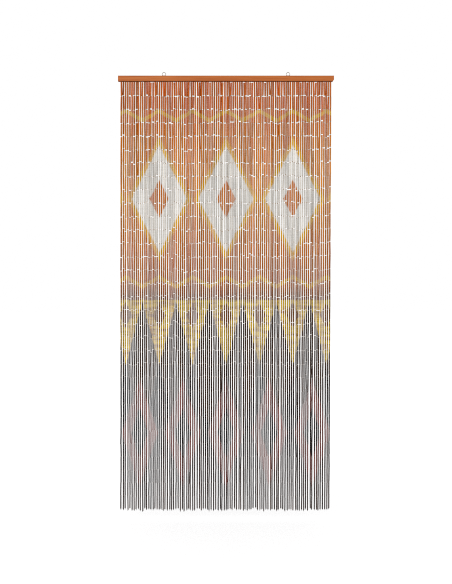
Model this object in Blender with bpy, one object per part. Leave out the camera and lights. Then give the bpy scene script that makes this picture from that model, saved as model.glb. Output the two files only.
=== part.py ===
"""Bamboo strand door curtain: a stained wooden rail with two screw eyes, and a hundred strands under it.

Metres, +Z up, the front faces -Y. The origin lies midway between the two eyes, at the height where
the hooks bear, in the plane of the rings. Each strand is a chain of bamboo tubes in the real thing;
here it is one square rod that hangs as its chain hangs, fused at its root into a narrow strip.
"""
import random
from math import asin, cos, pi, radians, sin

import bmesh
import bpy
from mathutils import Vector

RAIL_LENGTH = 1.000
RAIL_HEIGHT = 0.025
RAIL_DEPTH = 0.016
RAIL_EDGE_ROUNDING = 0.0012
CUT_CORNER_WIDTH = 0.005
CUT_CORNER_HEIGHT = 0.007
CLEARANCE = 0.0003

EYE_OFFSET = 0.288
EYE_WIRE_RADIUS = 0.0012
EYE_RING_RADIUS = 0.0076
EYE_RING_STRETCH = 1.14
EYE_RING_STEPS = 28
EYE_OPEN_ANGLE = radians(10)
NECK_BEND_RADIUS = 0.0015
NECK_STEPS = 4
SHANK_LENGTH = 0.018
SHANK_POINT_LENGTH = 0.004
SHANK_POINT_THICKNESS = 0.35
PILOT_HOLE_DEPTH = 0.022
PILOT_HOLE_SIDES = 12

STRAND_COUNT = 100
STRAND_PITCH = 0.0098
ROOT_SHIFT = 0.0009
LEAN_SIDEWAYS = 0.0018
DRIFT_AT_RIGHT = 0.008
LEAN_IN_DEPTH = 0.0040
BOW_IN_DEPTH = 0.0020
STRIP_HEIGHT = 0.0014
STRAND_WIDTH_AT_TOP = 0.0076
STRAND_WIDTH_BELOW = 0.0058
NARROWING_TUBES = 18
HANGING_SEED = 624

TUBES_PER_STRAND = 32
TUBES_PER_SECTION = 8
UPPER_TUBES = 24
TOP_TUBE_DROP = 0.0675
UPPER_TUBE_DROP = 0.0620
LOWER_TUBE_DROP = 0.0612
DROP_SPREAD = 0.0007
WIDEST_SPREAD = 2.0
GAP_UNDER_RAIL = 0.0020
END_KNOT_LENGTH = 0.006
END_KNOT_WIDTH = 0.0028

NECK_ANGLE = asin(NECK_BEND_RADIUS / (EYE_RING_RADIUS + NECK_BEND_RADIUS))
NECK_DROP = (EYE_RING_RADIUS + NECK_BEND_RADIUS) * cos(NECK_ANGLE)
RING_CENTRE_Z = EYE_WIRE_RADIUS - EYE_RING_RADIUS
RAIL_TOP_Z = RING_CENTRE_Z - NECK_DROP
RAIL_BOTTOM_Z = RAIL_TOP_Z - RAIL_HEIGHT

STAINED_WOOD = ("stained_wood", (0.479, 0.150, 0.050, 1.0), 0.45, 0.0)
BRIGHT_STEEL = ("bright_steel", (0.620, 0.600, 0.570, 1.0), 0.30, 1.0)
PAINTED_BAMBOO = ("painted_bamboo", (0.360, 0.130, 0.060, 1.0), 0.55, 0.0)


def clear_scene():
    for obj in list(bpy.data.objects):
        bpy.data.objects.remove(obj)


def new_collection(name):
    collection = bpy.data.collections.new(name)
    bpy.context.scene.collection.children.link(collection)
    return collection


def surface(description):
    name, colour, roughness, metallic = description
    material = bpy.data.materials.new(name)
    material.use_nodes = True
    shader = material.node_tree.nodes["Principled BSDF"]
    shader.inputs["Base Color"].default_value = colour
    shader.inputs["Roughness"].default_value = roughness
    shader.inputs["Metallic"].default_value = metallic
    material.diffuse_color = colour
    return material


def place(name, bm, collection):
    """Turns a bmesh into a named object in its collection."""
    mesh = bpy.data.meshes.new(name)
    bm.to_mesh(mesh)
    bm.free()
    obj = bpy.data.objects.new(name, mesh)
    collection.objects.link(obj)
    return obj


def box(bm, size, centre):
    made = bmesh.ops.create_cube(bm, size=1.0)
    bmesh.ops.scale(bm, vec=size, verts=made["verts"])
    bmesh.ops.translate(bm, vec=centre, verts=made["verts"])


def cut_lower_corner(bm):
    """Takes the slanted piece off the rail's lower right corner and closes the cut."""
    on_cut = Vector((RAIL_LENGTH / 2, 0, RAIL_BOTTOM_Z + CUT_CORNER_HEIGHT))
    outwards = Vector((CUT_CORNER_HEIGHT, 0, -CUT_CORNER_WIDTH))
    whole = bm.verts[:] + bm.edges[:] + bm.faces[:]
    cut = bmesh.ops.bisect_plane(bm, geom=whole, plane_co=on_cut, plane_no=outwards, clear_outer=True)
    rim = [piece for piece in cut["geom_cut"] if isinstance(piece, bmesh.types.BMEdge)]
    bmesh.ops.contextual_create(bm, geom=rim)
    bmesh.ops.recalc_face_normals(bm, faces=bm.faces)


def pilot_hole(x, cutters):
    """A round cutter that stands in the rail's top face, a little wider than the shank."""
    radius = EYE_WIRE_RADIUS + CLEARANCE
    length = PILOT_HOLE_DEPTH * 1.1
    bm = bmesh.new()
    made = bmesh.ops.create_cone(
        bm, cap_ends=True, segments=PILOT_HOLE_SIDES, radius1=radius, radius2=radius, depth=length
    )
    middle = (x, 0, RAIL_TOP_Z - PILOT_HOLE_DEPTH + length / 2)
    bmesh.ops.translate(bm, vec=middle, verts=made["verts"])
    cutter = place("pilot_hole", bm, cutters)
    cutter.hide_render = True
    cutter.display_type = "WIRE"
    return cutter


def rail(parts, cutters):
    """The batten: long edges softened, its lower right corner cut, and a pilot hole for each eye."""
    bm = bmesh.new()
    box(bm, (RAIL_LENGTH, RAIL_DEPTH, RAIL_HEIGHT), (0, 0, (RAIL_TOP_Z + RAIL_BOTTOM_Z) / 2))
    long_edges = [edge for edge in bm.edges if edge.calc_length() > RAIL_LENGTH / 2]
    bmesh.ops.bevel(bm, geom=long_edges, offset=RAIL_EDGE_ROUNDING, segments=2, profile=0.5, affect="EDGES")
    cut_lower_corner(bm)
    batten = place("rail", bm, parts)
    batten.data.materials.append(surface(STAINED_WOOD))
    for side in (-1, 1):
        drilling = batten.modifiers.new("pilot hole", "BOOLEAN")
        drilling.operation = "DIFFERENCE"
        drilling.object = pilot_hole(side * EYE_OFFSET, cutters)


def eye_route():
    """The wire's middle line, as (x, z, thickness) from the shank's point to the oval ring's open end."""
    route = [
        (0, -NECK_DROP - SHANK_LENGTH, SHANK_POINT_THICKNESS),
        (0, -NECK_DROP - SHANK_LENGTH + SHANK_POINT_LENGTH, 1),
    ]
    for step in range(NECK_STEPS):
        angle = pi - (pi / 2 - NECK_ANGLE) * step / NECK_STEPS
        bend_x = NECK_BEND_RADIUS * (1 + cos(angle))
        route.append((bend_x, NECK_BEND_RADIUS * sin(angle) - NECK_DROP, 1))
    sweep = 2 * pi - NECK_ANGLE - EYE_OPEN_ANGLE
    for step in range(EYE_RING_STEPS + 1):
        angle = NECK_ANGLE + sweep * step / EYE_RING_STEPS
        route.append((EYE_RING_RADIUS * sin(angle), -EYE_RING_RADIUS * cos(angle), 1))
    return [(EYE_RING_STRETCH * along, up, thickness) for along, up, thickness in route]


def screw_eye(name, x, parts, steel):
    """One bent wire: the shank in its hole, a neck that turns aside, and the ring, not quite closed."""
    wire = bpy.data.curves.new(name, "CURVE")
    wire.dimensions = "3D"
    wire.bevel_depth = EYE_WIRE_RADIUS
    wire.bevel_resolution = 2
    wire.use_fill_caps = True
    route = eye_route()
    spline = wire.splines.new("POLY")
    spline.points.add(len(route) - 1)
    for point, (along, up, thickness) in zip(spline.points, route):
        point.co = (along, 0, up, 1)
        point.radius = thickness
    wire.materials.append(steel)
    eye = bpy.data.objects.new(name, wire)
    eye.location = (x, 0, RING_CENTRE_Z)
    parts.objects.link(eye)


def drop_of(tube):
    """A tube and the link under it: the topmost tube is long, and the lowest ones hang close together."""
    if tube == 0:
        return TOP_TUBE_DROP
    return UPPER_TUBE_DROP if tube < UPPER_TUBES else LOWER_TUBE_DROP


def width_at(tube):
    """The tubes are sorted: thick ones hang at the top, and thin ones from the 18th tube down."""
    share = min(1.0, tube / NARROWING_TUBES)
    return STRAND_WIDTH_AT_TOP + (STRAND_WIDTH_BELOW - STRAND_WIDTH_AT_TOP) * share


def hanging_lines():
    """For each strand the points at its tubes' upper ends, and last the one under its lowest tube."""
    chance = random.Random(HANGING_SEED)
    lines = []
    for strand in range(STRAND_COUNT):
        root_x = (strand - (STRAND_COUNT - 1) / 2) * STRAND_PITCH + chance.uniform(-ROOT_SHIFT, ROOT_SHIFT)
        drift = DRIFT_AT_RIGHT * strand / (STRAND_COUNT - 1)
        lean_x = chance.uniform(-LEAN_SIDEWAYS, LEAN_SIDEWAYS) - drift
        lean_y = chance.uniform(-LEAN_IN_DEPTH, LEAN_IN_DEPTH)
        bow_y = chance.uniform(-BOW_IN_DEPTH, BOW_IN_DEPTH)
        z = RAIL_BOTTOM_Z - GAP_UNDER_RAIL
        points = []
        for tube in range(TUBES_PER_STRAND + 1):
            down = tube / TUBES_PER_STRAND
            y = lean_y * down * down + 4 * bow_y * down * (1 - down)
            points.append(Vector((root_x + lean_x * down, y, z)))
            spread = max(-WIDEST_SPREAD, min(WIDEST_SPREAD, chance.gauss(0, 1)))
            z -= drop_of(tube) + DROP_SPREAD * spread
        lines.append(points)
    return lines


def root_strip(bm, lines):
    """A flat bar just under the rail, cut into cells so that each strand can grow from its own cell."""
    half = STRAND_WIDTH_AT_TOP / 2
    sides = [points[0].x + side for points in lines for side in (-half, half)]
    middle = ((sides[0] + sides[-1]) / 2, 0, RAIL_BOTTOM_Z - CLEARANCE - STRIP_HEIGHT / 2)
    box(bm, (sides[-1] - sides[0], STRAND_WIDTH_AT_TOP, STRIP_HEIGHT), middle)
    for x in sides[1:-1]:
        whole = bm.verts[:] + bm.edges[:] + bm.faces[:]
        bmesh.ops.bisect_plane(bm, geom=whole, plane_co=(x, 0, 0), plane_no=(1, 0, 0))


def root_cells(bm):
    """The cells under the strip that carry a strand: every second one, from left to right."""
    bm.normal_update()
    under = [face for face in bm.faces if face.normal.z < -0.5]
    under.sort(key=lambda face: face.calc_center_median().x)
    return under[::2]


def grow(bm, face, target, width):
    """Pulls the strand's end face on to the next point and gives it that width."""
    tip = bmesh.ops.extrude_discrete_faces(bm, faces=[face])["faces"][0]
    centre = tip.calc_center_median()
    across = [vert.co.x for vert in tip.verts]
    change = width / (max(across) - min(across))
    for vert in tip.verts:
        vert.co = target + (vert.co - centre) * change
    return tip


def strands(parts):
    """All the strands and the strip that holds their roots, as one body."""
    lines = hanging_lines()
    bm = bmesh.new()
    root_strip(bm, lines)
    for cell, points in zip(root_cells(bm), lines):
        tip = cell
        for tube in range(TUBES_PER_SECTION, TUBES_PER_STRAND + 1, TUBES_PER_SECTION):
            tip = grow(bm, tip, points[tube], width_at(tube))
        grow(bm, tip, points[-1] - Vector((0, 0, END_KNOT_LENGTH)), END_KNOT_WIDTH)
    hanging = place("strands", bm, parts)
    hanging.data.materials.append(surface(PAINTED_BAMBOO))


def build():
    clear_scene()
    parts = new_collection("bamboo_door_curtain")
    cutters = new_collection("cutters")
    rail(parts, cutters)
    steel = surface(BRIGHT_STEEL)
    screw_eye("screw_eye_left", -EYE_OFFSET, parts, steel)
    screw_eye("screw_eye_right", EYE_OFFSET, parts, steel)
    strands(parts)


build()
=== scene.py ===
"""The looks of a bamboo strand door curtain: its stained rail, steel eyes and painted strands.

Sizes are in metres.
"""
import random
from math import cos, pi, radians, sin

import bmesh
import bpy
from mathutils import Matrix, Vector


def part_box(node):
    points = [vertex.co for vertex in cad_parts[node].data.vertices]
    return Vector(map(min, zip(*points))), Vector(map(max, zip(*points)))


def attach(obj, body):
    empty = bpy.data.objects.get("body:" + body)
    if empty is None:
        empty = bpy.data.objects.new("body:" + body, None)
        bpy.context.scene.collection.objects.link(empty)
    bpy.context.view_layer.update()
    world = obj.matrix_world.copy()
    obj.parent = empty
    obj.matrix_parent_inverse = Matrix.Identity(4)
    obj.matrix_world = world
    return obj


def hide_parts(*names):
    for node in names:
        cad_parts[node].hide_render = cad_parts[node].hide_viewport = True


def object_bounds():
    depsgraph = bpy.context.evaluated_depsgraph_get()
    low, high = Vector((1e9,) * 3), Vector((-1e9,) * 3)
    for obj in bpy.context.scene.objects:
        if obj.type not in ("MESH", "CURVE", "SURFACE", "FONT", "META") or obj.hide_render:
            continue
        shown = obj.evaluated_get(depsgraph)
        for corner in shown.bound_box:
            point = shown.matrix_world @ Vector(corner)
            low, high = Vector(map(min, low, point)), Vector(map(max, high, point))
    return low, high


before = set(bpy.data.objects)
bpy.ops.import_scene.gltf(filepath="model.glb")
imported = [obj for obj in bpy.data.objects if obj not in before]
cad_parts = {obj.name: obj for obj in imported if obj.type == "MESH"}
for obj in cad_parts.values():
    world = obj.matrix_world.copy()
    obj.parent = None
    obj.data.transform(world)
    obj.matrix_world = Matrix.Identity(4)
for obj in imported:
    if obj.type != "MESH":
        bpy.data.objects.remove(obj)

cad_low, cad_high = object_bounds()


# The rail
# A planed pine batten, stained orange-brown and varnished to a satin gloss, with soft long edges and
# its lower right corner cut off. The solid has the real shape, so it stays and gets its wood here.
RAIL_GRAIN = (0.200, 0.005, 0.005)
RAIL_FIBRES = (0.033, 0.0007, 0.0007)
RAIL_GRAIN_SHARE = 0.72
RAIL_EDGE_WEAR_WIDTH = 0.0022
# The lowest millimetre of the rail's face and its underside carry a painted shade in dark brown, for the
# shadow under the rail.
RAIL_SHADED_EDGE = 0.0010
PAINTED_SHADE_STRENGTH = 0.92
PAINTED_SHADE_UNDERNEATH = 0.55
WORN_STAIN = "#914a24"
PAINTED_SHADE_BROWN = "#5e280e"
FACING_DOWN = -0.9
rail_low, rail_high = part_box("rail")


def linear(code):
    """An sRGB hex colour as the linear values that shaders take."""
    values = []
    for place in (1, 3, 5):
        part = int(code[place:place + 2], 16) / 255
        values.append(part / 12.92 if part <= 0.04045 else ((part + 0.055) / 1.055) ** 2.4)
    return (*values, 1.0)


def add(tree, kind, inputs=(), stops=(), **settings):
    """Adds a node with its settings, and sets or links its inputs.

    An input goes by its name, or by its number where several have one name, as in a Math node. Stops
    are a colour ramp's places and colours.
    """
    node = tree.nodes.new(kind)
    for name, value in settings.items():
        setattr(node, name, value)
    for name, value in dict(inputs).items():
        in_use = [socket for socket in node.inputs if socket.enabled]
        socket = next(socket for number, socket in enumerate(in_use) if name in (number, socket.name))
        if isinstance(value, bpy.types.Node):
            value = next(output for output in value.outputs if output.enabled)
        if isinstance(value, bpy.types.NodeSocket):
            tree.links.new(value, socket)
        else:
            socket.default_value = value
    for number, (place, code) in enumerate(stops):
        elements = node.color_ramp.elements
        element = elements[number] if number < 2 else elements.new(place)
        element.position = place
        element.color = linear(code)
    return node


def blotches(tree, place, size, detail, distortion=0.0, shift=0.0):
    """A noise pattern whose blotches have the given size along X, Y and Z, in metres."""
    stretched = add(tree, "ShaderNodeMapping", {
        "Vector": place, "Location": (shift, 0.0, 0.0), "Scale": [1 / side for side in size],
    })
    return add(tree, "ShaderNodeTexNoise", {
        "Vector": stretched, "Scale": 1.0, "Detail": detail, "Distortion": distortion,
    })


def new_material(name):
    """A material with an empty node tree, and that tree."""
    material = bpy.data.materials.new(name)
    material.use_nodes = True
    material.node_tree.nodes.clear()
    return material, material.node_tree


# Stained pine under satin varnish: the stain sinks into the soft early wood, so the streaks along the
# rail run from a deep red-brown to orange. They are 5 mm wide, with 0.7 mm fibres in them. The lowest
# millimetre of the face is darkened with a painted shade, for the shadow under the rail. The varnish
# gives a broad, soft highlight.
stained_pine, tree = new_material("stained_pine")
place = add(tree, "ShaderNodeTexCoord").outputs["Object"]
grain = blotches(tree, place, RAIL_GRAIN, detail=5.0, distortion=0.4)
fibres = blotches(tree, place, RAIL_FIBRES, detail=3.0)
streaks = add(tree, "ShaderNodeMath", {0: grain, 1: RAIL_GRAIN_SHARE}, operation="MULTIPLY")
streaks = add(
    tree, "ShaderNodeMath", {0: fibres, 1: 1 - RAIL_GRAIN_SHARE, 2: streaks}, operation="MULTIPLY_ADD"
)
stain = add(tree, "ShaderNodeValToRGB", {"Fac": streaks}, stops=(
    (0.30, "#8f4a22"), (0.44, "#a3592a"), (0.56, "#aa6130"), (0.70, "#b16c38"),
))
height = add(tree, "ShaderNodeSeparateXYZ", {"Vector": place}).outputs["Z"]
rail_middle_z = (rail_low.z + rail_high.z) / 2
from_middle = add(tree, "ShaderNodeMath", {0: height, 1: rail_middle_z}, operation="SUBTRACT")
from_middle = add(tree, "ShaderNodeMath", {0: from_middle}, operation="ABSOLUTE")
edge_start = (rail_high.z - rail_low.z) / 2 - RAIL_EDGE_WEAR_WIDTH
near_edge = add(tree, "ShaderNodeMath", {0: from_middle, 1: edge_start}, operation="SUBTRACT")
worn = add(tree, "ShaderNodeMapRange", {"Value": near_edge, "From Max": RAIL_EDGE_WEAR_WIDTH})
worn = add(tree, "ShaderNodeMath", {0: worn, 1: fibres}, operation="MULTIPLY")
coat = add(tree, "ShaderNodeMix", {
    "Factor": worn, "A": stain, "B": linear(WORN_STAIN),
}, data_type="RGBA")
# Painted shade: the lowest millimetre darkens to dark brown, standing in for the shadow under the rail.
painted_shade = add(tree, "ShaderNodeMapRange", {
    "Value": height, "From Min": rail_low.z, "From Max": rail_low.z + RAIL_SHADED_EDGE,
    "To Min": PAINTED_SHADE_STRENGTH, "To Max": 0.0,
})
coat = add(tree, "ShaderNodeMix", {
    "Factor": painted_shade, "A": coat, "B": linear(PAINTED_SHADE_BROWN),
}, data_type="RGBA")
gloss = add(tree, "ShaderNodeMapRange", {"Value": streaks, "To Min": 0.50, "To Max": 0.34})
relief = add(tree, "ShaderNodeBump", {"Height": streaks, "Strength": 0.25, "Distance": 0.0003})
wood = add(tree, "ShaderNodeBsdfPrincipled", {
    "Base Color": coat, "Roughness": gloss, "Normal": relief, "IOR": 1.5, "Specular IOR Level": 0.1,
})
add(tree, "ShaderNodeOutputMaterial", {"Surface": wood})

# The same stain on the underside, quite matt, with a painted shade: the dark brown is mixed in over the
# whole underside, for the shadow under the rail.
unvarnished_pine = stained_pine.copy()
unvarnished_pine.name = "unvarnished_pine"
bare_wood = unvarnished_pine.node_tree.nodes[wood.name]
bare_wood.inputs["Specular IOR Level"].default_value = 0.0
underside_shade = unvarnished_pine.node_tree.nodes[painted_shade.name]
underside_shade.inputs["To Min"].default_value = PAINTED_SHADE_UNDERNEATH

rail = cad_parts["rail"]
rail.data.materials.clear()
rail.data.materials.append(stained_pine)
rail.data.materials.append(unvarnished_pine)
for face in rail.data.polygons:
    if face.normal.z < FACING_DOWN:
        face.material_index = 1


# The screw eyes
# Two eyes bent from zinc-plated steel wire, 20 mm across, with their shanks screwed into the rail's
# top. Their rings aren't quite closed. The solids have that shape and stay.
ZINC_CLOUDS = (0.004, 0.004, 0.004)

# Zinc plate on steel: a warm mid grey that has dulled with handling, in cloudy patches of about 4 mm.
zinc_plate, tree = new_material("zinc_plated_steel")
place = add(tree, "ShaderNodeTexCoord").outputs["Object"]
clouds = blotches(tree, place, ZINC_CLOUDS, detail=3.0)
tint = add(tree, "ShaderNodeValToRGB", {"Fac": clouds}, stops=((0.35, "#80766a"), (0.65, "#a69b8b")))
dulling = add(tree, "ShaderNodeMapRange", {"Value": clouds, "To Min": 0.22, "To Max": 0.42})
steel = add(tree, "ShaderNodeBsdfPrincipled", {
    "Base Color": tint, "Roughness": dulling, "Metallic": 1.0,
})
add(tree, "ShaderNodeOutputMaterial", {"Surface": steel})
for side in ("left", "right"):
    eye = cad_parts[f"screw_eye_{side}"]
    eye.data.materials.clear()
    eye.data.materials.append(zinc_plate)


# The hanging strands
# A hundred chains hang side by side where their solids hang. Each is 32 bamboo tubes on wires. The
# joints between them are uneven: on average 2.6 mm high at the top, narrower downwards, and closed but
# for 0.3 mm from the 24th on.
STRAND_COUNT = 100
STRAND_PITCH = 0.0098
ROOT_SHIFT = 0.0009
LEAN_SIDEWAYS = 0.0018
DRIFT_AT_RIGHT = 0.008
LEAN_IN_DEPTH = 0.0040
BOW_IN_DEPTH = 0.0020
HANGING_SEED = 624
TUBES_PER_STRAND = 32
UPPER_TUBES = 24
TOP_TUBE_DROP = 0.0675
UPPER_TUBE_DROP = 0.0620
LOWER_TUBE_DROP = 0.0612
DROP_SPREAD = 0.0007
WIDEST_SPREAD = 2.0
GAP_UNDER_RAIL = 0.0020
MEAN_GAP_AT_TOP = 0.0023
CLOSED_GAP = 0.0003
WIDEST_GAP_SHARE = 3.0
NARROWING_POWER = 1.5
WIDE_GAPS_RARITY = 2
FIRST_GAP = 0.0020
WIDEST_FIRST_GAP = 0.0065
WIDE_FIRST_GAPS_RARITY = 4
JOINT_WAVE = 0.0020
JOINT_WAVE_LENGTH = 0.36
WAVE_SHIFT = 0.38
LENGTH_SPREAD = 0.0015
JOINT_SWAY = 0.0005
JOINT_SEED = 5


def drop_of(tube):
    """A tube and the joint under it."""
    if tube == 0:
        return TOP_TUBE_DROP
    return UPPER_TUBE_DROP if tube < UPPER_TUBES else LOWER_TUBE_DROP


def mean_gap(row):
    """How far the joints above a row of tubes stand open on average, past the closed gap."""
    return max(0.0, MEAN_GAP_AT_TOP * (1 - (row / UPPER_TUBES) ** NARROWING_POWER))


# Each strand leans and bows a little by chance, and the strands drift to the left at their feet, the
# more so the further right they hang.
chance = random.Random(HANGING_SEED)
strands = []
for strand in range(STRAND_COUNT):
    root_x = (strand - (STRAND_COUNT - 1) / 2) * STRAND_PITCH + chance.uniform(-ROOT_SHIFT, ROOT_SHIFT)
    drift = DRIFT_AT_RIGHT * strand / (STRAND_COUNT - 1)
    lean_x = chance.uniform(-LEAN_SIDEWAYS, LEAN_SIDEWAYS) - drift
    lean_y = chance.uniform(-LEAN_IN_DEPTH, LEAN_IN_DEPTH)
    bow_y = chance.uniform(-BOW_IN_DEPTH, BOW_IN_DEPTH)
    z = rail_low.z - GAP_UNDER_RAIL
    tops = []
    for tube in range(TUBES_PER_STRAND + 1):
        down = tube / TUBES_PER_STRAND
        y = lean_y * down * down + 4 * bow_y * down * (1 - down)
        tops.append(Vector((root_x + lean_x * down, y, z)))
        spread = max(-WIDEST_SPREAD, min(WIDEST_SPREAD, chance.gauss(0, 1)))
        z -= drop_of(tube) + DROP_SPREAD * spread
    strands.append(tops)

# The tubes aren't cut alike, so the joints of one row scatter more and more up and down and a little
# aside, and most are narrow and a few wide. The strands' ends stay where their solids end.
uneven = random.Random(JOINT_SEED)
gaps = []
for tops in strands:
    walk = [0.0]
    for row in range(TUBES_PER_STRAND):
        walk.append(walk[-1] + uneven.gauss(0, LENGTH_SPREAD))
    first_share = uneven.uniform(0, 1) ** WIDE_FIRST_GAPS_RARITY
    strand_gaps = [FIRST_GAP + (WIDEST_FIRST_GAP - FIRST_GAP) * first_share]
    tops[0].z = rail_low.z - strand_gaps[0]
    for row in range(1, TUBES_PER_STRAND):
        wave = JOINT_WAVE * sin(2 * pi * (tops[0].x / JOINT_WAVE_LENGTH + row * WAVE_SHIFT))
        up = wave + walk[row] - walk[-1] * row / TUBES_PER_STRAND
        tops[row] += Vector((uneven.uniform(-JOINT_SWAY, JOINT_SWAY), 0, up))
        gap_share = WIDEST_GAP_SHARE * uneven.uniform(0, 1) ** WIDE_GAPS_RARITY
        strand_gaps.append(CLOSED_GAP + mean_gap(row) * gap_share)
    gaps.append([*strand_gaps, CLOSED_GAP])


def hang_on_edges():
    """A tree that sets a copy of a pattern on each edge of a guide, turned along it and as long."""
    tree = bpy.data.node_groups.new("hang_on_edges", "GeometryNodeTree")
    for name, kind in (
        ("Guide", "Geometry"), ("Pattern", "Object"), ("Turn", "Float"), ("Spread", "Float"),
        ("Columns", "Float"), ("Rows", "Float"), ("Seed", "Int"), ("Finish", "Material"),
    ):
        tree.interface.new_socket(name, in_out="INPUT", socket_type=f"NodeSocket{kind}")
    tree.interface.new_socket("Pieces", in_out="OUTPUT", socket_type="NodeSocketGeometry")
    given = add(tree, "NodeGroupInput").outputs
    ends = add(tree, "GeometryNodeInputMeshEdgeVertices").outputs
    upper, lower = ends["Position 1"], ends["Position 2"]
    upward = add(tree, "ShaderNodeVectorMath", {0: upper, 1: lower}, operation="SUBTRACT")
    keep = add(tree, "GeometryNodeCaptureAttribute", {"Geometry": given["Guide"]}, domain="EDGE")
    keep.capture_items.new("VECTOR", "Upward")
    tree.links.new(upward.outputs[0], keep.inputs["Upward"])
    along = keep.outputs["Upward"]
    points = add(tree, "GeometryNodeMeshToPoints", {"Mesh": keep.outputs["Geometry"]}, mode="EDGES")
    length = add(tree, "ShaderNodeVectorMath", {0: along}, operation="LENGTH").outputs["Value"]
    width = add(tree, "GeometryNodeInputNamedAttribute", {"Name": "width"}, data_type="FLOAT")
    thinnest = add(tree, "ShaderNodeMath", {0: 1.0, 1: given["Spread"]}, operation="SUBTRACT")
    thickest = add(tree, "ShaderNodeMath", {0: 1.0, 1: given["Spread"]}, operation="ADD")
    share = add(tree, "FunctionNodeRandomValue", {
        "Min": thinnest, "Max": thickest, "Seed": given["Seed"],
    }, data_type="FLOAT")
    thickness = add(tree, "ShaderNodeMath", {0: width, 1: share}, operation="MULTIPLY")
    size = add(tree, "ShaderNodeCombineXYZ", {"X": thickness, "Y": thickness, "Z": length})
    turn_seed = add(tree, "ShaderNodeMath", {0: given["Seed"], 1: 1.0}, operation="ADD")
    turn = add(tree, "FunctionNodeRandomValue", {
        "Min": 0.0, "Max": given["Turn"], "Seed": turn_seed,
    }, data_type="FLOAT")
    turned = add(tree, "FunctionNodeAxisAngleToRotation", {"Axis": (0.0, 0.0, 1.0), "Angle": turn})
    lying = add(
        tree, "FunctionNodeAlignRotationToVector", {"Rotation": turned, "Vector": along}, axis="Z"
    )
    pattern = add(tree, "GeometryNodeObjectInfo", {"Object": given["Pattern"]})
    copies = add(tree, "GeometryNodeInstanceOnPoints", {
        "Points": points, "Instance": pattern.outputs["Geometry"], "Rotation": lying, "Scale": size,
    })
    real = add(tree, "GeometryNodeRealizeInstances", {"Geometry": copies})
    own_map = add(tree, "GeometryNodeInputNamedAttribute", {"Name": "OFBake"}, data_type="FLOAT_VECTOR")
    column = add(tree, "GeometryNodeInputNamedAttribute", {"Name": "column"}, data_type="FLOAT")
    row = add(tree, "GeometryNodeInputNamedAttribute", {"Name": "row"}, data_type="FLOAT")
    cell = add(tree, "ShaderNodeCombineXYZ", {"X": column, "Y": row})
    cells = add(tree, "ShaderNodeCombineXYZ", {"X": given["Columns"], "Y": given["Rows"], "Z": 1.0})
    shifted = add(tree, "ShaderNodeVectorMath", {0: own_map, 1: cell}, operation="ADD")
    whole_map = add(tree, "ShaderNodeVectorMath", {0: shifted, 1: cells}, operation="DIVIDE")
    mapped = add(tree, "GeometryNodeStoreNamedAttribute", {
        "Geometry": real, "Name": "OFBake", "Value": whole_map,
    }, data_type="FLOAT2", domain="CORNER")
    finished = add(tree, "GeometryNodeSetMaterial", {"Geometry": mapped, "Material": given["Finish"]})
    add(tree, "NodeGroupOutput", {"Pieces": finished})
    return tree


hanging_tree = hang_on_edges()


def guide_of(edges):
    """A mesh of loose edges from (upper end, lower end, width, column, row, tone, tint)."""
    mesh = bpy.data.meshes.new("guide")
    places = [point for upper, lower, *_ in edges for point in (upper, lower)]
    mesh.from_pydata(places, [(2 * number, 2 * number + 1) for number in range(len(edges))], [])
    for index, name in enumerate(("width", "column", "row", "tone", "tint"), start=2):
        attribute = mesh.attributes.new(name, "FLOAT", "EDGE")
        attribute.data.foreach_set("value", [float(edge[index]) for edge in edges])
    return mesh


def pattern_of(bm, sharp_from):
    """The small object that is copied along a guide."""
    mesh = bpy.data.meshes.new("pattern")
    bm.to_mesh(mesh)
    bm.free()
    mesh.shade_smooth()
    mesh.set_sharp_from_angle(angle=sharp_from)
    pattern = bpy.data.objects.new("pattern", mesh)
    bpy.context.scene.collection.objects.link(pattern)
    return pattern


def hang(name, edges, pattern, slot, **inputs):
    """Copies the pattern along the edges and makes the result one plain mesh that rides on the root."""
    guide = bpy.data.objects.new(name, guide_of(edges))
    bpy.context.scene.collection.objects.link(guide)
    hanging = guide.modifiers.new("hanging", "NODES")
    hanging.node_group = hanging_tree
    named = {item.name: item.identifier for item in hanging_tree.interface.items_tree}
    for title, value in {"Pattern": pattern, **inputs}.items():
        hanging[named[title]] = value
    depsgraph = bpy.context.evaluated_depsgraph_get()
    mesh = bpy.data.meshes.new_from_object(guide.evaluated_get(depsgraph), depsgraph=depsgraph)
    guide.modifiers.remove(hanging)
    guide.data = mesh
    mesh.name = name
    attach(guide, "root")
    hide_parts("strands")


# The wires
# Each tube hangs on a soft iron wire that runs through its bore and ends in a small loop on both sides,
# hooked through the loop of the next. The topmost loops hang on staples driven up into the rail, and
# each lowest wire ends in a longer loop, doubled by twisting, that keeps the last tube on.
WIRE_RADIUS = 0.0004
LOOP_RADIUS = 0.0010
LOOP_STEPS = 8
WIRE_SIDES = 3
STAPLE_HALF_WIDTH = 0.0016
STAPLE_IN_RAIL = 0.0040
STAPLE_STEPS = 6
END_LOOP_LENGTH = 0.0062
END_LOOP_HALF_WIDTH = 0.0009
TWISTED_END_RADIUS = 0.0007
TWISTED_END_SIDES = 6
WIRE_LENGTH = UPPER_TUBE_DROP
WIRE_TURN = radians(25)
STAPLE_TURN = radians(8)
END_LOOP_TURN = radians(70)
WIRE_SHARP_FROM = radians(80)
WIRE_MAP_LEFT = 0.3
WIRE_MAP_RIGHT = 0.7
WIRE_MAP_HEIGHT = 0.9
WIRE_SEED = 100
IRON_PATCHES = (0.0025, 0.0025, 0.0025)
BLACKENED_HEIGHT = 0.10
BLACKISH_PAINT = "#2b2726"
GROUPS = ("far_left", "left", "right", "far_right")
STRANDS_PER_GROUP = STRAND_COUNT // len(GROUPS)
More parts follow.
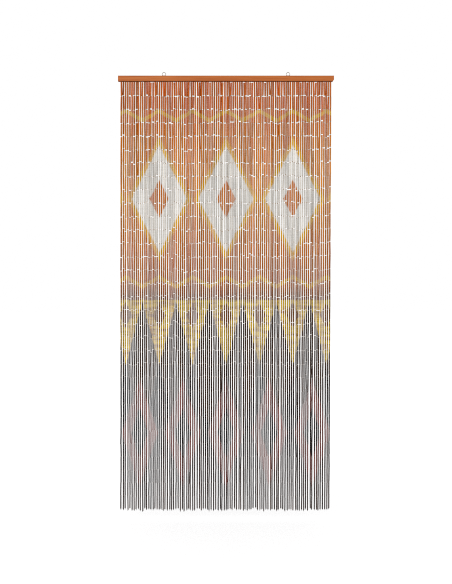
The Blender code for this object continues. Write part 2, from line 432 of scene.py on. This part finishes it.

# Galvanized iron wire: a pale, slightly warm grey with duller patches of 2.5 mm, never polished. Close
# under the rail it is darkened with a painted shade, the rail's shadow, and at the strands' ends it has
# their paint.
iron_wire, tree = new_material("galvanized_iron_wire")
place = add(tree, "ShaderNodeTexCoord").outputs["Object"]
patches = blotches(tree, place, IRON_PATCHES, detail=2.0)
tint = add(tree, "ShaderNodeValToRGB", {"Fac": patches}, stops=((0.35, "#8a857d"), (0.68, "#b6b0a7")))
height = add(tree, "ShaderNodeSeparateXYZ", {"Vector": place}).outputs["Z"]
# Painted shade: the wire darkens to dark brown towards the rail, where the rail's shadow falls.
shade_under_rail = add(tree, "ShaderNodeMapRange", {
    "Value": height, "From Min": rail_low.z - 2 * GAP_UNDER_RAIL,
    "From Max": rail_low.z - GAP_UNDER_RAIL, "To Min": 0.0, "To Max": 0.9,
})
tint = add(tree, "ShaderNodeMix", {
    "Factor": shade_under_rail, "A": tint, "B": linear(PAINTED_SHADE_BROWN),
}, data_type="RGBA")
blackened = add(tree, "ShaderNodeMapRange", {
    "Value": height, "From Min": cad_low.z + BLACKENED_HEIGHT / 2,
    "From Max": cad_low.z + BLACKENED_HEIGHT, "To Min": 0.95, "To Max": 0.0,
})
tint = add(tree, "ShaderNodeMix", {
    "Factor": blackened, "A": tint, "B": linear(BLACKISH_PAINT),
}, data_type="RGBA")
iron = add(tree, "ShaderNodeBsdfPrincipled", {"Base Color": tint, "Roughness": 0.42, "Metallic": 1.0})
add(tree, "ShaderNodeOutputMaterial", {"Surface": iron})


def joints_of(strand):
    """The middle of the joint above each of a strand's tubes, and last of the one under its lowest."""
    tops = strands[strand]
    joints = [Vector((tops[0].x, tops[0].y, rail_low.z - GAP_UNDER_RAIL / 2))]
    for row in range(1, len(tops)):
        joints.append(tops[row] + Vector((0, 0, gaps[strand][row] / 2)))
    return joints


def sweep_wire(bm, route, closed, radius=WIRE_RADIUS, sides=WIRE_SIDES):
    """A wire of a few sides along a route in a plane through Z, given as (across, up) pairs."""
    rings = []
    for number, (across, up) in enumerate(route):
        before = route[number - 1] if closed or number else route[number]
        after = route[(number + 1) % len(route)] if closed or number < len(route) - 1 else route[number]
        along = Vector((after[0] - before[0], 0, after[1] - before[1])).normalized()
        outwards = Vector((along.z, 0, -along.x))
        ring = []
        for side in range(sides):
            turn = 2 * pi * side / sides
            offset = outwards * cos(turn) + Vector((0, sin(turn), 0))
            ring.append(bm.verts.new(Vector((across, 0, up)) + offset * radius))
        rings.append(ring)
    for number in range(len(rings) if closed else len(rings) - 1):
        here, after = rings[number], rings[(number + 1) % len(rings)]
        for side in range(sides):
            other = (side + 1) % sides
            bm.faces.new((here[side], here[other], after[other], after[side]))
    if not closed:
        bm.faces.new(rings[0])
        bm.faces.new(reversed(rings[-1]))
    return [vert for ring in rings for vert in ring]


def round_loop(middle, half_width, half_height):
    """A loop round a place on the Z axis, with straight sides between two half rounds."""
    route = []
    for step in range(LOOP_STEPS):
        turn = 2 * pi * (step + 0.5) / LOOP_STEPS
        straight = half_height - half_width if turn < pi else half_width - half_height
        route.append((half_width * cos(turn), middle + half_width * sin(turn) + straight))
    return route


def finish_wire(bm, whole_length):
    """Brings a wire shape to a length of 1 and gives it its map."""
    bmesh.ops.scale(bm, vec=(1, 1, 1 / whole_length), verts=bm.verts)
    bmesh.ops.recalc_face_normals(bm, faces=bm.faces)
    flat_map = bm.loops.layers.uv.new("OFBake")
    for face in bm.faces:
        for number, loop in enumerate(face.loops):
            side = WIRE_MAP_RIGHT if number in (1, 2) else WIRE_MAP_LEFT
            loop[flat_map].uv = (side, 0.5 + WIRE_MAP_HEIGHT * loop.vert.co.z)
    return pattern_of(bm, WIRE_SHARP_FROM)


def tube_wire():
    """A straight run with a loop at each end; the lower loop is turned a quarter so that loops hook."""
    bm = bmesh.new()
    loop_middle = WIRE_LENGTH / 2 - (LOOP_RADIUS - WIRE_RADIUS)
    sweep_wire(bm, round_loop(loop_middle, LOOP_RADIUS, LOOP_RADIUS), closed=True)
    quarter = Matrix.Rotation(pi / 2, 3, "Z")
    lower = sweep_wire(bm, round_loop(-loop_middle, LOOP_RADIUS, LOOP_RADIUS), closed=True)
    bmesh.ops.rotate(bm, cent=(0, 0, 0), matrix=quarter, verts=lower)
    run = loop_middle - LOOP_RADIUS
    sweep_wire(bm, [(0, run), (0, -run)], closed=False)
    return finish_wire(bm, WIRE_LENGTH)


def staple():
    """A U of wire with its legs in the rail; its bottom carries the topmost loop."""
    bm = bmesh.new()
    length = STAPLE_IN_RAIL + GAP_UNDER_RAIL / 2
    bend_middle = -length / 2 + STAPLE_HALF_WIDTH + WIRE_RADIUS
    route = [(-STAPLE_HALF_WIDTH, length / 2)]
    for step in range(STAPLE_STEPS + 1):
        turn = pi + pi * step / STAPLE_STEPS
        route.append((STAPLE_HALF_WIDTH * cos(turn), bend_middle + STAPLE_HALF_WIDTH * sin(turn)))
    route.append((STAPLE_HALF_WIDTH, length / 2))
    sweep_wire(bm, route, closed=False)
    return finish_wire(bm, length)


def end_loop():
    """The long loop under the lowest tube."""
    bm = bmesh.new()
    half = END_LOOP_LENGTH / 2
    route = round_loop(0, END_LOOP_HALF_WIDTH, half - TWISTED_END_RADIUS)
    sweep_wire(bm, route, closed=True, radius=TWISTED_END_RADIUS, sides=TWISTED_END_SIDES)
    return finish_wire(bm, END_LOOP_LENGTH)


wire_shapes = (
    ("wires", tube_wire(), WIRE_TURN),
    ("staples", staple(), STAPLE_TURN),
    ("end_loops", end_loop(), END_LOOP_TURN),
)
for number, group in enumerate(GROUPS):
    runs = {"wires": [], "staples": [], "end_loops": []}
    for column in range(STRANDS_PER_GROUP):
        joints = joints_of(number * STRANDS_PER_GROUP + column)
        in_rail = Vector((joints[0].x, joints[0].y, rail_low.z + STAPLE_IN_RAIL))
        hooked_under = joints[0] - Vector((0, 0, 2 * WIRE_RADIUS))
        runs["staples"].append((in_rail, hooked_under, 1.0, column, 0, 0, 0))
        for row in range(TUBES_PER_STRAND):
            runs["wires"].append((joints[row], joints[row + 1], 1.0, column, row, 0, 0))
        loop_top = joints[-1] + Vector((0, 0, WIRE_RADIUS))
        loop_bottom = loop_top - Vector((0, 0, END_LOOP_LENGTH))
        runs["end_loops"].append((loop_top, loop_bottom, 1.0, column, 0, 0, 0))
    for kind, shape, turn in wire_shapes:
        rows = float(TUBES_PER_STRAND if kind == "wires" else 1)
        hang(
            f"{kind}_{group}", runs[kind], shape, "steel_wire", Turn=turn, Seed=WIRE_SEED + number,
            Columns=float(STRANDS_PER_GROUP), Rows=rows, Finish=iron_wire,
        )
for _, shape, _ in wire_shapes:
    bpy.data.objects.remove(shape)


# The tubes
# Lengths of thin hollow bamboo, cut at 60 mm, sorted from thick at the top to thin below and painted by
# hand once they hang, so the painting runs over them. Their cut ends are bare and a little chamfered.
TUBE_SIDES = 10
TUBE_WIDTH_AT_TOP = 0.0083
TUBE_WIDTH_MIDWAY = 0.0067
TUBE_WIDTH_AT_END = 0.0059
NARROWING_TUBES = 18
TUBE_THICKNESS_SPREAD = 0.03
TUBE_CHAMFER = 0.0006
BORE_SHARE = 0.60
TUBE_SHARP_FROM = radians(40)
TUBE_MAP_CORNER = (0.05, 0.01)
TUBE_MAP_SIZE = (0.90, 0.98)
TOP_TUBE_TILT = 0.0016
TUBE_TILT = 0.0006
TUBE_SEED = 200
TUBE_SEED_STEP = 10
PAINTER_SEED = 7
STRAND_TONE = 0.13
TUBE_TONE = 0.12
STRAND_TINT_SHARE = 0.35
TINT_HUES = (0.493, 0.509)
TINT_STRENGTHS = (1.03, 0.90)

# The painting is laid out in metres across from the curtain's middle and down from the rail, and its
# ground in shares of the way down. A zigzag has its depth, swing, length and half width, and a row of
# lozenges the place of one, their spacing, their middles' depth, their half width and half height. Both
# end with their colour and how soft their edge is. A band has its depth and half height, and a wash its
# shift in the noise, its width and its colour.
GROUND = (
    (0.00, "#a04f1b"), (0.07, "#a1521a"), (0.13, "#a65f1c"), (0.19, "#ab6826"), (0.25, "#aa6b29"),
    (0.31, "#a76725"), (0.38, "#a15e25"), (0.47, "#8d5126"), (0.52, "#533a2a"), (0.60, "#35271f"),
    (0.67, "#1e1613"), (0.73, "#160f0e"), (0.80, "#16100f"), (0.86, "#231b1a"), (0.92, "#453c39"),
    (1.00, "#685e5a"),
)
LOWER_FIELD_START = 0.52
LOWER_FIELD_FULL = 0.68
WASHES = ((0.0, 0.070, "#40271d"), (7.0, 0.070, "#1a1e20"), (3.0, 0.013, "#2f2826"))
WASH_LENGTH = 0.900
WASH_STRENGTH = 0.62
ZIGZAGS = (
    (0.160, 0.022, 0.155, 0.010, "#ac7e20", 0.35),
    (0.930, 0.022, 0.155, 0.010, "#a4781c", 0.35),
)
TALL_LOZENGES = (
    (0.0, 0.310, 0.545, 0.148, 0.285, "#b4861e", 0.05),
    (0.0, 0.310, 0.545, 0.128, 0.247, "#b9b4ac", 0.04),
    (0.0, 0.310, 0.545, 0.045, 0.087, "#a5622a", 0.08),
)
YELLOW_BAND = (1.165, 0.150)
YELLOW_PAINT = "#a98b2b"
YELLOW_EDGE_SOFTNESS = 0.03
DRY_PAINT = "#714826"
DRY_STRENGTH = 0.90
LOWER_LOZENGES = (
    (0.0775, 0.155, 1.315, 0.0775, 0.294, "#36261c", 0.03),
    (0.0, 0.155, 1.085, 0.030, 0.060, "#66401f", 0.10),
    (0.0, 0.200, 1.630, 0.084, 0.250, "#66403b", 0.06),
    (0.0, 0.200, 1.630, 0.040, 0.118, BLACKISH_PAINT, 0.08),
)
BRUSHED_BAND = (1.22, 0.30)
STROKES_ELSEWHERE = 0.35
STROKE_CONTRAST = 0.20
FIBRE_CONTRAST = 0.20
RUNS_ABOVE = 0.9
RUNS_BELOW = 2.4
BRUSH_SLIP = 0.003
BARE_BAMBOO = "#b08a5c"
UNSTEADINESS = (0.055, 0.055, 0.055)
DRY_STROKES = (0.080, 0.080, 0.018)
BRUSH_STROKES = (0.110, 0.110, 0.006)
PAINT_RUNS = (0.030, 0.030, 0.600)
BAMBOO_FIBRES = (0.0012, 0.0012, 0.060)

# Matt paint on bamboo: the paint lies thin, so the fibres show through it as fine streaks, and it wears
# off towards the cut ends. Where the paint is bare, the bamboo is straw-coloured. Bamboo's fibres are
# 0.3 mm wide, and they are drawn 1.2 mm wide, because finer ones don't show.
painted_bamboo, tree = new_material("painted_bamboo")
place = add(tree, "ShaderNodeTexCoord").outputs["Object"]
where = add(tree, "ShaderNodeSeparateXYZ", {"Vector": place}).outputs
tone = add(tree, "ShaderNodeAttribute", attribute_name="tone").outputs["Fac"]
tint = add(tree, "ShaderNodeAttribute", attribute_name="tint").outputs["Fac"]
along = add(tree, "ShaderNodeAttribute", attribute_name="along").outputs["Fac"]

# The brush slips by up to 3 mm from tube to tube, so no edge in the painting is straight.
unsteady = blotches(tree, place, UNSTEADINESS, detail=3.0)
unsteady = add(tree, "ShaderNodeMath", {0: unsteady, 1: tint}, operation="ADD")
brush_slip = add(tree, "ShaderNodeMapRange", {
    "Value": unsteady, "From Min": 0.3, "From Max": 1.7, "To Min": -BRUSH_SLIP, "To Max": BRUSH_SLIP,
})
across = add(tree, "ShaderNodeMath", {0: where["X"], 1: brush_slip}, operation="ADD")
depth = add(tree, "ShaderNodeMath", {0: rail_low.z, 1: where["Z"]}, operation="SUBTRACT")
depth = add(tree, "ShaderNodeMath", {0: depth, 1: brush_slip}, operation="ADD")
full_drop = rail_low.z - cad_low.z
share_down = add(tree, "ShaderNodeMath", {0: depth, 1: full_drop}, operation="DIVIDE")

# The ground runs from orange-brown to a blackish lower field, which is washed over in tall, narrow runs
# of brown, blue-black and grey.
paint = add(tree, "ShaderNodeValToRGB", {"Fac": share_down}, stops=GROUND)
lower_field = add(tree, "ShaderNodeMapRange", {
    "Value": share_down, "From Min": LOWER_FIELD_START, "From Max": LOWER_FIELD_FULL,
})
for shift, width, colour in WASHES:
    wash = blotches(tree, place, (width, width, WASH_LENGTH), detail=2.0, shift=shift)
    wash = add(tree, "ShaderNodeMapRange", {
        "Value": wash, "From Min": 0.48, "From Max": 0.60, "To Min": 0.0, "To Max": WASH_STRENGTH,
    })
    wash = add(tree, "ShaderNodeMath", {0: wash, 1: lower_field}, operation="MULTIPLY")
    paint = add(tree, "ShaderNodeMix", {
        "Factor": wash, "A": paint, "B": linear(colour),
    }, data_type="RGBA")


def brushed(paint, colour, inside, softness):
    """Lays a colour over the paint where inside is below 1, with an edge as soft as given."""
    mask = add(tree, "ShaderNodeMapRange", {
        "Value": inside, "From Min": 1.0 + softness, "From Max": 1.0 - softness,
    }, interpolation_type="SMOOTHSTEP")
    return add(tree, "ShaderNodeMix", {
        "Factor": mask, "A": paint, "B": linear(colour),
    }, data_type="RGBA")


def band(middle, half_height):
    """0 on the middle line of a level band and 1 on its edges."""
    off = add(tree, "ShaderNodeMath", {0: depth, 1: middle}, operation="SUBTRACT")
    off = add(tree, "ShaderNodeMath", {0: off}, operation="ABSOLUTE")
    return add(tree, "ShaderNodeMath", {0: off, 1: half_height}, operation="DIVIDE")


def lozenge(first, spacing, middle, half_width, half_height):
    """0 at the middle of each lozenge in a row and 1 on its outline."""
    start = add(tree, "ShaderNodeMath", {0: across, 1: first}, operation="SUBTRACT")
    aside = add(tree, "ShaderNodeMath", {0: start, 1: spacing / 2}, operation="PINGPONG")
    aside = add(tree, "ShaderNodeMath", {0: aside, 1: half_width}, operation="DIVIDE")
    below = band(middle, half_height)
    return add(tree, "ShaderNodeMath", {0: aside, 1: below}, operation="ADD")


def zigzag(middle, swing, length, half_width):
    """0 on the middle line of a zigzag and 1 on its edges."""
    wave = add(tree, "ShaderNodeMath", {0: across, 1: length / 2}, operation="PINGPONG")
    wave = add(tree, "ShaderNodeMath", {
        0: wave, 1: 4 * swing / length, 2: middle - swing,
    }, operation="MULTIPLY_ADD")
    off = add(tree, "ShaderNodeMath", {0: depth, 1: wave}, operation="SUBTRACT")
    off = add(tree, "ShaderNodeMath", {0: off}, operation="ABSOLUTE")
    return add(tree, "ShaderNodeMath", {0: off, 1: half_width}, operation="DIVIDE")


# The design, brushed on from the first colour to the last. Dry brown strokes go over the yellow band
# before the charcoal lozenges cut it into points.
for *shape, colour, softness in ZIGZAGS:
    paint = brushed(paint, colour, zigzag(*shape), softness)
for *shape, colour, softness in TALL_LOZENGES:
    paint = brushed(paint, colour, lozenge(*shape), softness)
paint = brushed(paint, YELLOW_PAINT, band(*YELLOW_BAND), YELLOW_EDGE_SOFTNESS)
dry = blotches(tree, place, DRY_STROKES, detail=4.0)
dry = add(tree, "ShaderNodeMapRange", {
    "Value": dry, "From Min": 0.44, "From Max": 0.66, "To Min": 0.0, "To Max": DRY_STRENGTH,
})
on_band = add(tree, "ShaderNodeMapRange", {
    "Value": band(*YELLOW_BAND), "From Min": 1.02, "From Max": 0.98,
})
dry = add(tree, "ShaderNodeMath", {0: dry, 1: on_band}, operation="MULTIPLY")
paint = add(tree, "ShaderNodeMix", {
    "Factor": dry, "A": paint, "B": linear(DRY_PAINT),
}, data_type="RGBA")
for *shape, colour, softness in LOWER_LOZENGES:
    paint = brushed(paint, colour, lozenge(*shape), softness)

# The paint's lightness: each tube's own tone, the fibres, level brush strokes that show most round the
# yellow band, and upright runs that show most in the lower field.
fibres = blotches(tree, place, BAMBOO_FIBRES, detail=4.0)
strokes = blotches(tree, place, BRUSH_STROKES, detail=3.0)
runs_down = blotches(tree, place, PAINT_RUNS, detail=2.0)
streak = add(tree, "ShaderNodeMapRange", {
    "Value": fibres, "From Min": 0.3, "From Max": 0.7,
    "To Min": 1 - FIBRE_CONTRAST, "To Max": 1 + FIBRE_CONTRAST,
})
in_band = add(tree, "ShaderNodeMapRange", {
    "Value": band(*BRUSHED_BAND), "From Min": 1.2, "From Max": 0.8, "To Min": STROKES_ELSEWHERE,
})
stroke = add(tree, "ShaderNodeMapRange", {
    "Value": strokes, "From Min": 0.3, "From Max": 0.7,
    "To Min": -STROKE_CONTRAST, "To Max": STROKE_CONTRAST,
})
stroke = add(tree, "ShaderNodeMath", {0: stroke, 1: in_band, 2: 1.0}, operation="MULTIPLY_ADD")
run_depth = add(tree, "ShaderNodeMapRange", {
    "Value": share_down, "From Min": 0.45, "From Max": 0.65, "To Min": RUNS_ABOVE, "To Max": RUNS_BELOW,
})
run = add(tree, "ShaderNodeMath", {0: runs_down, 1: 0.5}, operation="SUBTRACT")
run = add(tree, "ShaderNodeMath", {0: run, 1: run_depth, 2: 1.0}, operation="MULTIPLY_ADD")
lightness = add(tree, "ShaderNodeMath", {0: tone, 1: streak}, operation="MULTIPLY")
lightness = add(tree, "ShaderNodeMath", {0: lightness, 1: stroke}, operation="MULTIPLY")
lightness = add(tree, "ShaderNodeMath", {0: lightness, 1: run}, operation="MULTIPLY")

# Each tube's own tint turns the colour a little and makes it stronger or weaker.
hue = add(tree, "ShaderNodeMapRange", {
    "Value": tint, "To Min": TINT_HUES[0], "To Max": TINT_HUES[1],
})
strength = add(tree, "ShaderNodeMapRange", {
    "Value": tint, "To Min": TINT_STRENGTHS[0], "To Max": TINT_STRENGTHS[1],
})
paint = add(tree, "ShaderNodeHueSaturation", {
    "Color": paint, "Hue": hue, "Saturation": strength, "Value": lightness,
})

# The bare ends: along runs from -1 at a tube's lower cut to 1 at its upper one, and the paint wears off
# about 1 mm short of each. In the lower field the ends are painted over and hardly show.
end_share = add(tree, "ShaderNodeMath", {0: along}, operation="ABSOLUTE")
bare_edge = add(tree, "ShaderNodeMath", {0: fibres, 1: 0.10, 2: end_share}, operation="MULTIPLY_ADD")
bare = add(tree, "ShaderNodeMapRange", {
    "Value": bare_edge, "From Min": 1.005, "From Max": 1.05, "To Min": 0.0, "To Max": 0.85,
})
thin_paint = add(tree, "ShaderNodeMapRange", {
    "Value": share_down, "From Min": 0.45, "From Max": 0.75, "To Min": 1.0, "To Max": 0.15,
})
bare = add(tree, "ShaderNodeMath", {0: bare, 1: thin_paint}, operation="MULTIPLY")
surface = add(tree, "ShaderNodeMix", {
    "Factor": bare, "A": paint, "B": linear(BARE_BAMBOO),
}, data_type="RGBA")
sheen = add(tree, "ShaderNodeMapRange", {"Value": fibres, "To Min": 0.62, "To Max": 0.48})
relief = add(tree, "ShaderNodeBump", {"Height": fibres, "Strength": 0.5, "Distance": 0.0003})
bamboo = add(tree, "ShaderNodeBsdfPrincipled", {
    "Base Color": surface, "Roughness": sheen, "Normal": relief, "IOR": 1.5, "Specular IOR Level": 0.04,
})
add(tree, "ShaderNodeOutputMaterial", {"Surface": bamboo})


def tube_width(row):
    """The mean thickness of a row of tubes."""
    if row < NARROWING_TUBES:
        return TUBE_WIDTH_AT_TOP + (TUBE_WIDTH_MIDWAY - TUBE_WIDTH_AT_TOP) * row / NARROWING_TUBES
    share = (row - NARROWING_TUBES) / (TUBES_PER_STRAND - 1 - NARROWING_TUBES)
    return TUBE_WIDTH_MIDWAY + (TUBE_WIDTH_AT_END - TUBE_WIDTH_MIDWAY) * share


def tube_pattern():
    """A hollow tube, 1 wide and 1 long: outer wall, chamfered cut ends and the bore.

    Each corner of the wall's section has the strip of the map that the wall from it to the next takes.
    """
    rim = 0.5 - TUBE_CHAMFER / TUBE_WIDTH_AT_TOP
    cut = 0.5 - TUBE_CHAMFER / UPPER_TUBE_DROP
    bore = BORE_SHARE / 2
    section = (
        (0.5, cut, 0.90, 0.93), (rim, 0.5, 0.93, 0.97), (bore, 0.5, 0.97, 1.00),
        (bore, -0.5, 0.00, 0.05), (rim, -0.5, 0.05, 0.10), (0.5, -cut, 0.10, 0.90),
    )
    bm = bmesh.new()
    flat_map = bm.loops.layers.uv.new("OFBake")
    along_tube = bm.verts.layers.float.new("along")
    rings = []
    for side in range(TUBE_SIDES):
        turn = 2 * pi * side / TUBE_SIDES
        ring = [bm.verts.new((reach * cos(turn), reach * sin(turn), up)) for reach, up, *_ in section]
        for vert in ring:
            vert[along_tube] = vert.co.z * 2
        rings.append(ring)
    for side in range(TUBE_SIDES):
        here, after = rings[side], rings[(side + 1) % TUBE_SIDES]
        for corner, (*_, low, high) in enumerate(section):
            following = (corner + 1) % len(section)
            face = bm.faces.new((here[corner], after[corner], after[following], here[following]))
            on_map = ((side, low), (side + 1, low), (side + 1, high), (side, high))
            for loop, (turns, up) in zip(face.loops, on_map):
                loop[flat_map].uv = (
                    TUBE_MAP_CORNER[0] + TUBE_MAP_SIZE[0] * turns / TUBE_SIDES,
                    TUBE_MAP_CORNER[1] + TUBE_MAP_SIZE[1] * up,
                )
    return pattern_of(bm, TUBE_SHARP_FROM)


hand = random.Random(PAINTER_SEED)
tube_shape = tube_pattern()
for number, group in enumerate(GROUPS):
    edges = []
    for column in range(STRANDS_PER_GROUP):
        strand = number * STRANDS_PER_GROUP + column
        tops = strands[strand]
        strand_tone = hand.uniform(-STRAND_TONE, STRAND_TONE)
        strand_tint = hand.uniform(0, 1)
        for row in range(TUBES_PER_STRAND):
            step = tops[row + 1] - tops[row]
            lower = tops[row] + step * (1 - gaps[strand][row + 1] / step.length)
            sway = TUBE_TILT if row else TOP_TUBE_TILT
            lower += Vector((hand.uniform(-sway, sway), hand.uniform(-sway, sway), 0))
            tube_tone = TUBE_TONE * (1 - row / TUBES_PER_STRAND)
            tone = 1 + strand_tone + hand.uniform(-tube_tone, tube_tone)
            tint = STRAND_TINT_SHARE * strand_tint + (1 - STRAND_TINT_SHARE) * hand.uniform(0, 1)
            edges.append((tops[row], lower, tube_width(row), column, row, tone, tint))
    hang(
        f"tubes_{group}", edges, tube_shape, "painted_bamboo", Turn=2 * pi,
        Seed=TUBE_SEED + TUBE_SEED_STEP * number, Columns=float(STRANDS_PER_GROUP),
        Rows=float(TUBES_PER_STRAND), Spread=TUBE_THICKNESS_SPREAD, Finish=painted_bamboo,
    )
bpy.data.objects.remove(tube_shape)


# The studio
# A white room with a pale floor just under the strands, one large soft lamp in front to the left, and a
# camera about level with the curtain's middle that sees it as wide and as high as the photograph does.
PICTURE_WIDTH = 452
PICTURE_HEIGHT = 584
RAIL_PIXELS = 216.0
RAIL_TOP_PIXEL = 75.5
CAMERA_DISTANCE = 3.0
SENSOR_HEIGHT = 24.0
FLOOR_DROP = 0.03
FLOOR_SIZE = 60.0
FLOOR_GREY = (0.30, 0.30, 0.30, 1.0)
FLOOR_GLOW = 0.71
WHITE = (1.0, 1.0, 1.0, 1.0)
LAMP_POWER = 45.0
LAMP_SIZE = 2.2
LAMP_ASIDE = -1.4
LAMP_IN_FRONT = -3.4
LAMP_UP = 1.5
FILTER_WIDTH = 1.0

pixel = (rail_high.x - rail_low.x) / RAIL_PIXELS
middle_z = rail_high.z - (PICTURE_HEIGHT / 2 - RAIL_TOP_PIXEL) * pixel
camera = bpy.data.objects.new("camera", bpy.data.cameras.new("camera"))
camera.data.sensor_fit = "VERTICAL"
camera.data.sensor_height = SENSOR_HEIGHT
camera.data.sensor_width = SENSOR_HEIGHT * PICTURE_WIDTH / PICTURE_HEIGHT
camera.data.lens = SENSOR_HEIGHT * CAMERA_DISTANCE / (PICTURE_HEIGHT * pixel)
camera.location = (0, rail_low.y - CAMERA_DISTANCE, middle_z)
camera.rotation_euler = (radians(90), 0, 0)
bpy.context.scene.collection.objects.link(camera)
bpy.context.scene.camera = camera

floor_paint, tree = new_material("white_floor_paint")
matt = add(tree, "ShaderNodeBsdfPrincipled", {
    "Base Color": FLOOR_GREY, "Roughness": 0.9, "Emission Color": WHITE, "Emission Strength": FLOOR_GLOW,
})
add(tree, "ShaderNodeOutputMaterial", {"Surface": matt})
bpy.ops.mesh.primitive_plane_add(size=FLOOR_SIZE, location=(0, 0, cad_low.z - FLOOR_DROP))
floor = bpy.context.object
floor.name = "floor"
floor.data.materials.append(floor_paint)

lamp = bpy.data.objects.new("soft_lamp", bpy.data.lights.new("soft_lamp", "AREA"))
lamp.data.energy = LAMP_POWER
lamp.data.size = LAMP_SIZE
lamp.location = (LAMP_ASIDE, LAMP_IN_FRONT, middle_z + LAMP_UP)
towards_curtain = Vector((0, 0, middle_z)) - lamp.location
lamp.rotation_euler = towards_curtain.to_track_quat("-Z", "Y").to_euler()
bpy.context.scene.collection.objects.link(lamp)

world = bpy.data.worlds.new("white_room")
world.use_nodes = True
world.node_tree.nodes["Background"].inputs["Color"].default_value = WHITE
world.node_tree.nodes["Background"].inputs["Strength"].default_value = 1.0
bpy.context.scene.world = world
bpy.context.scene.view_settings.view_transform = "Standard"
bpy.context.scene.cycles.use_denoising = False
bpy.context.scene.cycles.filter_width = FILTER_WIDTH
